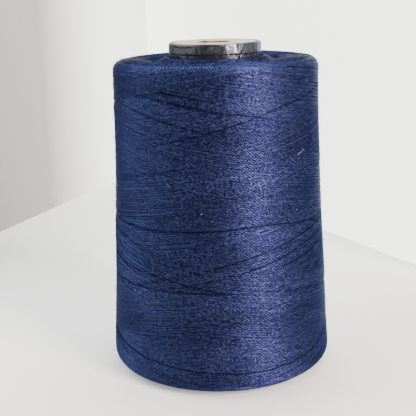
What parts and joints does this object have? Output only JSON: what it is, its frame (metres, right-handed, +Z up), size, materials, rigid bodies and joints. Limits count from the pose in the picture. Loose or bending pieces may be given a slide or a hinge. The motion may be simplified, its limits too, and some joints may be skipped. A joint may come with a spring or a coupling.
{
  "type": "spool of thread",
  "caption": "Large cross-wound spool of navy sewing thread on a capped paperboard core with a through spindle hole.",
  "frame": {"origin": "on the spool's axis, at the underside of the rim it stands on", "axes": "+Z up along the core's axis, from the wider base of the thread to its narrower top"},
  "size_m": [0.0948, 0.0948, 0.1372],
  "materials": {
    "navy_thread": "spun thread, soft sheen",
    "glossy_skin": "glossy foil, creased",
    "cream_paper": "matte, a little worn",
    "tan_board": "matte, fibrous",
    "kraft_board": "matte, spirally wound"
  },
  "bodies": {
    "root": {"core_tube": "kraft_board", "tube_sleeve": "glossy_skin", "bottom_band": "glossy_skin", "bottom_plug": "tan_board", "bottom_label": "cream_paper", "top_band": "glossy_skin", "top_plug": "tan_board", "top_label": "cream_paper", "thread_package": "navy_thread"}
  },
  "joints": []
}
